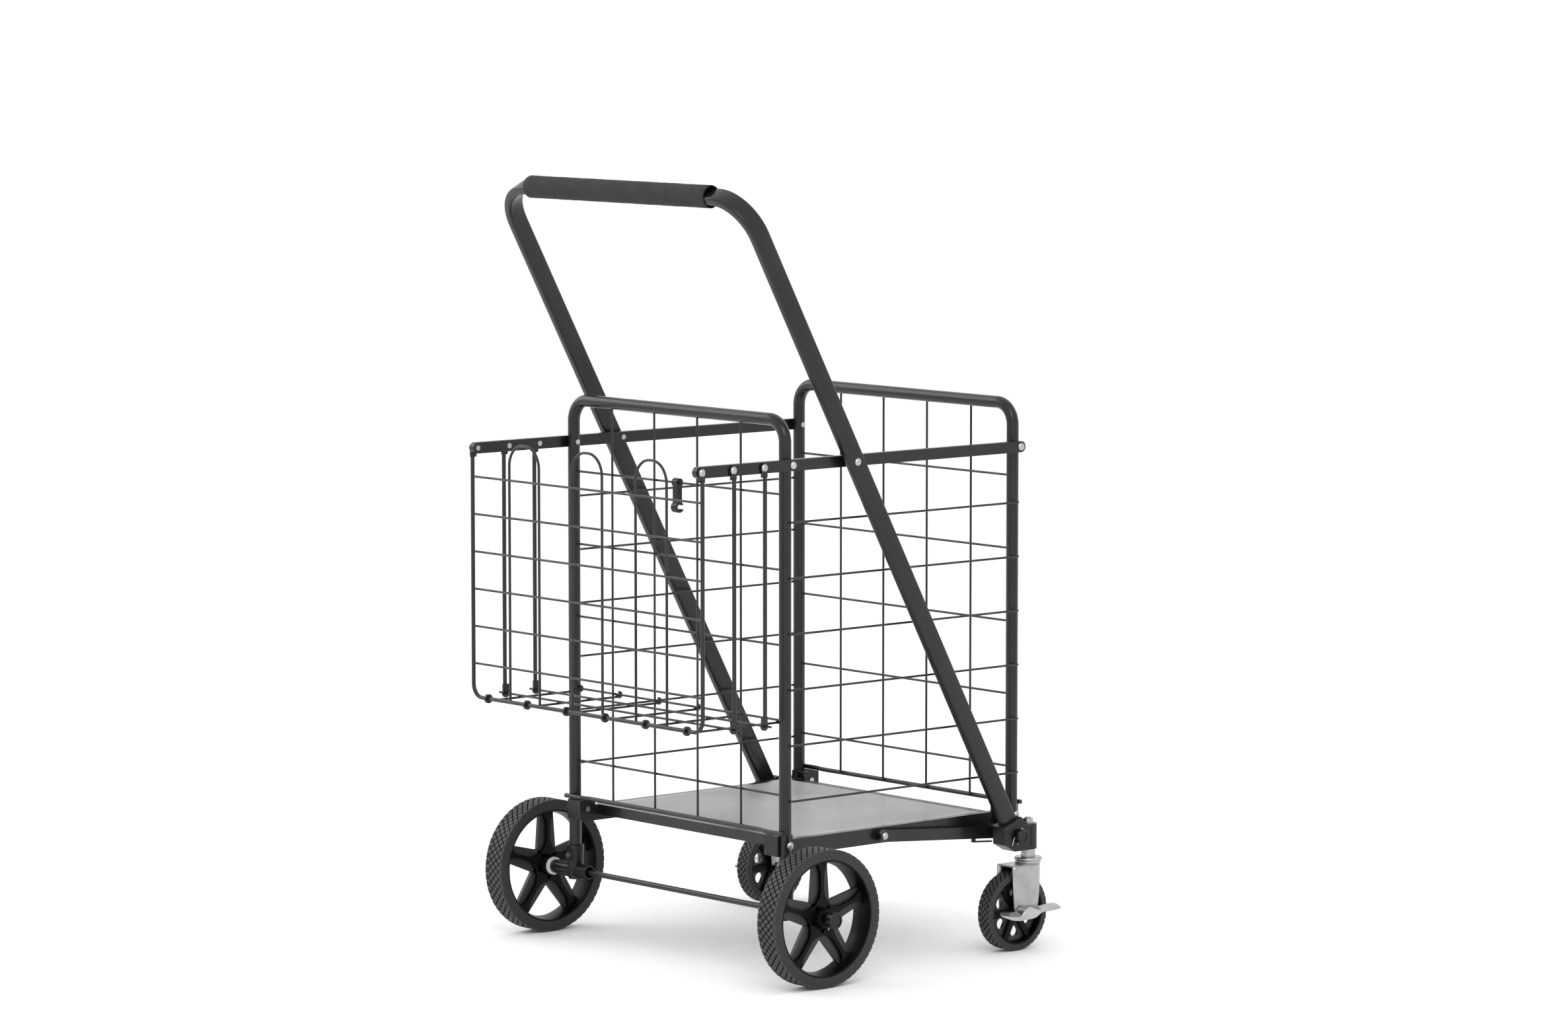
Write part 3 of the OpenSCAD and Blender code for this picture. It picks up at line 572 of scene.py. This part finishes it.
def make_fork(side):
    """The pressed fork: its wrapped cheeks, and the top plate with the stem's hole."""
    low, high = (Vector(c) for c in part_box(f"caster_fork_{side}"))
    wall = 0.0024
    half = (high.x - low.x) / 2
    stem = pivot(f"caster_{side}_swivel")
    axle = pivot(f"caster_wheel_{side}_spin")
    body = f"caster_{side}"
    shell = fork_shell(stem, axle, high.z - 0.0012, half)
    cheeks = piece(f"fork_cheeks_{side}", shell.verts, shell.faces, ZINC, body, [f"caster_fork_{side}"],
                   smooth=50)
    sheet = cheeks.modifiers.new("sheet", "SOLIDIFY")
    sheet.thickness, sheet.offset = wall, -1
    bore = 0.00505
    outline = [(low.x, low.y + 0.0005), *[
        (stem.x + half * math.cos(math.radians(a)), stem.y + half * math.sin(math.radians(a)))
        for a in range(180, -1, -12)], (high.x, low.y + 0.0005)]
    hole = [(stem.x + bore * math.cos(a), stem.y + bore * math.sin(a))
            for a in (math.radians(t) for t in range(0, 360, 15))]
    plate = plate_with_hole(outline, hole, high.z - wall, high.z)
    piece(f"fork_top_{side}", plate.verts, plate.faces, ZINC, body, bevel=0.0009)


def plate_with_hole(outline, hole, z0, z1):
    """A flat plate in the XY plane between z0 and z1, with one hole."""
    work = bmesh.new()
    edges = []
    for loop in (outline, hole):
        ring = [work.verts.new((x, y, z0)) for x, y in loop]
        edges += [work.edges.new((ring[i], ring[(i + 1) % len(ring)])) for i in range(len(ring))]
    bmesh.ops.triangle_fill(work, edges=edges, use_beauty=True)
    bmesh.ops.dissolve_limit(work, angle_limit=0.01, verts=work.verts, edges=work.edges)
    grown = bmesh.ops.extrude_face_region(work, geom=work.faces[:])
    tops = [g for g in grown["geom"] if isinstance(g, bmesh.types.BMVert)]
    bmesh.ops.translate(work, verts=tops, vec=(0, 0, z1 - z0))
    work.verts.index_update()
    out = Shape().add([v.co for v in work.verts], [[v.index for v in f.verts] for f in work.faces])
    work.free()
    return out


def make_pedal(side, sign):
    """A rocker pressed from sheet: two tilted leaves, a hump over the axle, and a side flange on its pivot."""
    low, high = (Vector(c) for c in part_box(f"brake_pedal_{side}"))
    axle = pivot(f"caster_wheel_{side}_spin")
    rear, front = low.y - axle.y + 0.0009, high.y - axle.y - 0.0009
    # along Y from the axle, height of the outboard edge, share of the width, rise to the inboard edge,
    # height of the flange's lower edge
    course = [
        (rear, 0.0012, 0.12, 0.0012, 0.0002), (rear + 0.0015, 0.0008, 0.45, 0.0030, -0.0006),
        (rear + 0.005, -0.0002, 0.72, 0.0046, -0.0024), (-0.0335, -0.0020, 0.90, 0.0060, -0.0052),
        (-0.025, -0.0032, 1.0, 0.0062, -0.0072), (-0.017, -0.0036, 1.0, 0.0058, -0.0082),
        (-0.0125, -0.0024, 1.0, 0.0040, -0.0083), (-0.0095, 0.0008, 1.0, 0.0020, -0.0083),
        (-0.0062, 0.0048, 1.0, 0.0008, -0.0082), (-0.001, 0.0078, 1.0, 0.0003, -0.0081),
        (0.004, 0.0080, 1.0, 0.0003, -0.0079), (0.009, 0.0066, 1.0, 0.0008, -0.0074),
        (0.014, 0.0047, 1.0, 0.0022, -0.0066), (0.020, 0.0026, 0.94, 0.0038, -0.0036),
        (0.027, 0.0008, 0.84, 0.0050, -0.0010), (0.036, 0.0001, 0.80, 0.0058, -0.0009),
        (0.047, 0.0005, 0.90, 0.0060, -0.0005), (front - 0.010, 0.0012, 0.94, 0.0054, 0.0002),
        (front - 0.004, 0.0018, 0.78, 0.0042, 0.0008), (front - 0.0012, 0.0022, 0.46, 0.0024, 0.0012),
        (front, 0.0024, 0.12, 0.0010, 0.0014)]
    strip = high.x - low.x - 0.0016
    centre = (low.x + high.x) / 2
    rows = []
    for y, z, share, rise, foot in smooth_course(course):
        reach = strip / 2 * share
        row = [(k, z + rise * (1 - k) / 2 - 0.0005 * (1 - k * k)) for k in (-1, -0.6, -0.2, 0.2, 0.6, 0.94)]
        row += [(1, z - 0.0006), (1, (z + foot) / 2), (1, foot)]
        rows.append([Vector((centre + sign * k * reach, axle.y + y, axle.z + h)) for k, h in row])
    verts = [v for row in rows for v in row]
    leaf = piece(f"pedal_leaf_{side}", verts, grid_faces(len(rows), len(rows[0]), wrap_columns=False), PEDAL,
                 f"brake_pedal_{side}", [f"brake_pedal_{side}"], smooth=60)
    pressed = leaf.modifiers.new("sheet", "SOLIDIFY")
    pressed.thickness, pressed.offset = 0.0012, 0
    edge = leaf.modifiers.new("rounding", "BEVEL")
    edge.width, edge.segments, edge.angle_limit = 0.0003, 2, math.radians(50)
    outer_x = high.x if sign > 0 else low.x
    pin = lathe([(0, 0.0001), (0, 0.0018), (0.0004, 0.0022), (0.003, 0.0022), (0.003, 0.0001)], 32)
    turned = mirrored(pin, -sign).moved(Matrix.Translation((outer_x, axle.y, axle.z)))
    piece(f"pedal_pin_{side}", turned.verts, turned.faces, BRIGHT, f"brake_pedal_{side}")


def smooth_course(course, cuts=3):
    """Catmull-Rom points through a list of tuples."""
    out = []
    last = len(course) - 1
    for i in range(last):
        p = [Vector(course[min(max(i + k, 0), last)]) for k in (-1, 0, 1, 2)]
        for j in range(cuts):
            t = j / cuts
            out.append(0.5 * ((2 * p[1]) + (p[2] - p[0]) * t + (2 * p[0] - 5 * p[1] + 4 * p[2] - p[3]) * t * t
                              + (3 * p[1] - p[0] - 3 * p[2] + p[3]) * t ** 3))
    out.append(Vector(course[last]))
    return out


# ---- axle brackets ----


def axle_bracket():
    """The right-hand moulded T: a socket up the post, a ribbed boss outwards and a short hollow one inwards."""
    low, high = (Vector(c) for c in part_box("axle_brackets"))
    axle = middle("rear_axle")
    post_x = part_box("rear_frame")[1][0] - TUBE_R
    inner = post_x - 0.0318
    outer = high.x
    post_r = 0.00852
    drum = lathe([(0, 0.0095), (0.004, 0.0108), (0.036, 0.0112), (0.038, 0.0122), (0.0485, 0.0122),
                  (0.0490, 0.0118), (0.0490, post_r), (0.021, post_r), (0.021, 0.0008), (0, 0.0008)], 48)
    stand = Matrix.Translation((post_x, axle.y, low.z)) @ Matrix.Rotation(math.radians(-90), 4, "Y")
    out = drum.moved(stand)
    bore = 0.00405
    boss = lathe([(outer - 0.0005, bore), (outer, bore + 0.0006), (outer, 0.0092), (outer - 0.004, 0.0100),
                  (post_x + 0.006, 0.0100), (post_x - 0.006, 0.0104), (inner + 0.006, 0.0097),
                  (inner + 0.0006, 0.0097), (inner, 0.0092), (inner, 0.0075), (inner + 0.012, 0.0072),
                  (inner + 0.012, bore)], 48)
    out.join(boss.moved(Matrix.Translation((0, axle.y, axle.z))))
    for i in range(10):
        fin = prism([(-0.0008, 0.0085), (0.0008, 0.0085), (0.0008, 0.0112), (-0.0008, 0.0112)],
                    post_x + 0.0095, outer - 0.012)
        turn = Matrix.Translation((0, axle.y, axle.z)) @ Matrix.Rotation(math.tau * i / 10, 4, "X")
        out.join(fin.moved(turn))
    ear_foot, ear_top = 0.109, 0.125
    out.join(block((post_x - 0.0065, low.y, ear_foot), (post_x + 0.0065, low.y + 0.004, ear_top)))
    return out


def make_axle_brackets():
    """Both axle brackets as one piece."""
    both, right = Shape(), axle_bracket()
    for sign in SIDES.values():
        both.join(mirrored(right, sign))
    piece("axle_bracket_mouldings", both.verts, both.faces, PLASTIC, "rear_frame", ["axle_brackets"],
          bevel=0.0005, segments=2)


# ---- cotter legs and painted shade in the bracket slits ----


def make_pin_details():
    """The bent leg of each front cotter pin, and a thin near-black strip of painted shade in the slit that
    clamps each caster stem.
    """
    axis = middle("front_pivot_pins")
    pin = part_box("front_cotter_pins")[1]
    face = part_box("caster_brackets")[1][0]
    stem = pivot("caster_right_swivel")
    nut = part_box("caster_nuts")[0]
    legs, slits = Shape(), Shape()
    x = pin[0] - 0.0008
    turns = [(-0.0060, -0.0008), (-0.0098, -0.0012), (-0.0118, -0.0040), (-0.0136, -0.0082), (-0.0152, -0.0122)]
    leg = sweep([Vector((x, axis.y + y, axis.z + z)) for y, z in turns], circle(0.0008, 12), X)
    slit = block((face - 0.0004, stem.y - 0.0062, nut[2] - 0.031),
                 (face + 0.00005, stem.y - 0.0054, nut[2] - 0.002))
    for sign in SIDES.values():
        legs.join(mirrored(leg, sign))
        slits.join(mirrored(slit, sign))
    piece("cotter_legs", legs.verts, legs.faces, BRIGHT, "handle")
    # painted shade: the strip stands in for the shaded gap of each slit
    piece("clamp_slit_shades", slits.verts, slits.faces, GAP_SHADE, "handle")


# ---- deck ----


def make_deck():
    """The floor plate, with fine ribs along it and a smooth rim."""
    low, high = (Vector(c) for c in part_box("base_deck"))
    rim, groove, pitch = 0.006, 0.0006, 0.0045
    slots = int((high.x - low.x - 2 * rim) / pitch)
    start = low.x + ((high.x - low.x) - slots * pitch) / 2
    line = [(low.x, high.z), (start, high.z)]
    for i in range(slots):
        x = start + i * pitch
        line += [(x + pitch * 0.1, high.z - groove), (x + pitch * 0.3, high.z - groove),
                 (x + pitch * 0.45, high.z), (x + pitch * 0.95, high.z)]
    line.append((high.x, high.z))
    outline = line + [(high.x, low.z), (low.x, low.z)]
    n = len(outline)
    verts = [(x, y, z) for y in (low.y, high.y) for x, z in outline]
    faces = [tuple(range(n)), tuple(reversed(range(n, 2 * n)))]
    faces += [(i, n + i, n + (i + 1) % n, (i + 1) % n) for i in range(n)]
    piece("deck_plate", verts, faces, DECK, "base", ["base_deck"], smooth=20)


# ---- all the pieces ----

make_handle()
make_grip()
make_wheels()
for side, sign in SIDES.items():
    make_fork(side)
    make_pedal(side, sign)
make_axle_brackets()
make_pin_details()
make_deck()
for node, width, body in (
    ("rail_left", 0.0028, "rails"), ("rail_right", 0.0028, "rails"),
    ("base_frame", 0.0014, "base"), ("link_bars", 0.0011, "links"),
    ("rear_hinge_brackets", 0.0010, "rear_frame"), ("front_hinge_brackets", 0.0010, "front_frame"),
    ("caster_brackets", 0.0014, "handle"), ("lock_clip", 0.0009, "lock_clip"),
):
    softened(node, width, body, 3)


# ---- stage, light and camera ----


def make_floor():
    """A wide pale ground just under the wheels."""
    bpy.ops.mesh.primitive_plane_add(size=60, location=(0, 0, -0.0005))
    floor = bpy.context.object
    floor.name = "floor"
    pale = bpy.data.materials.new("pale_floor")
    pale.use_nodes = True
    shader = pale.node_tree.nodes["Principled BSDF"]
    shader.inputs["Base Color"].default_value = (0.97, 0.97, 0.97, 1)
    shader.inputs["Roughness"].default_value = 0.9
    floor.data.materials.append(pale)


def area_light(name, place, aim, width, power):
    """A square soft light that faces aim."""
    data = bpy.data.lights.new(name, "AREA")
    data.shape, data.size, data.energy = "SQUARE", width, power
    lamp = bpy.data.objects.new(name, data)
    bpy.context.scene.collection.objects.link(lamp)
    lamp.location = place
    lamp.rotation_euler = (Vector(aim) - Vector(place)).to_track_quat("-Z", "Y").to_euler()


def make_light():
    """A bright white surround with two soft lights."""
    world = bpy.data.worlds.new("studio")
    bpy.context.scene.world = world
    world.use_nodes = True
    sky = world.node_tree.nodes["Background"]
    sky.inputs["Color"].default_value = (1, 1, 1, 1)
    sky.inputs["Strength"].default_value = 1.1
    area_light("key", (4.0, -3.0, 4.5), (0, 0, 0.5), 3.0, 90)
    area_light("fill", (-4.0, -2.0, 3.0), (0, 0, 0.5), 3.0, 60)
    bpy.context.scene.view_settings.view_transform = "Standard"


def make_camera():
    """A long lens from behind on the right, a little above the handle."""
    data = bpy.data.cameras.new("camera")
    data.sensor_width, data.lens = 36.0, 133.8
    data.clip_end = 100
    camera = bpy.data.objects.new("camera", data)
    bpy.context.scene.collection.objects.link(camera)
    rear_post_y = pivot("fold").y
    camera.location = (6.0925, rear_post_y - 5.1007, 1.4367)
    camera.rotation_euler = (math.radians(90 - 5.94), 0, math.radians(49.01))
    bpy.context.scene.camera = camera


make_floor()
make_light()
make_camera()
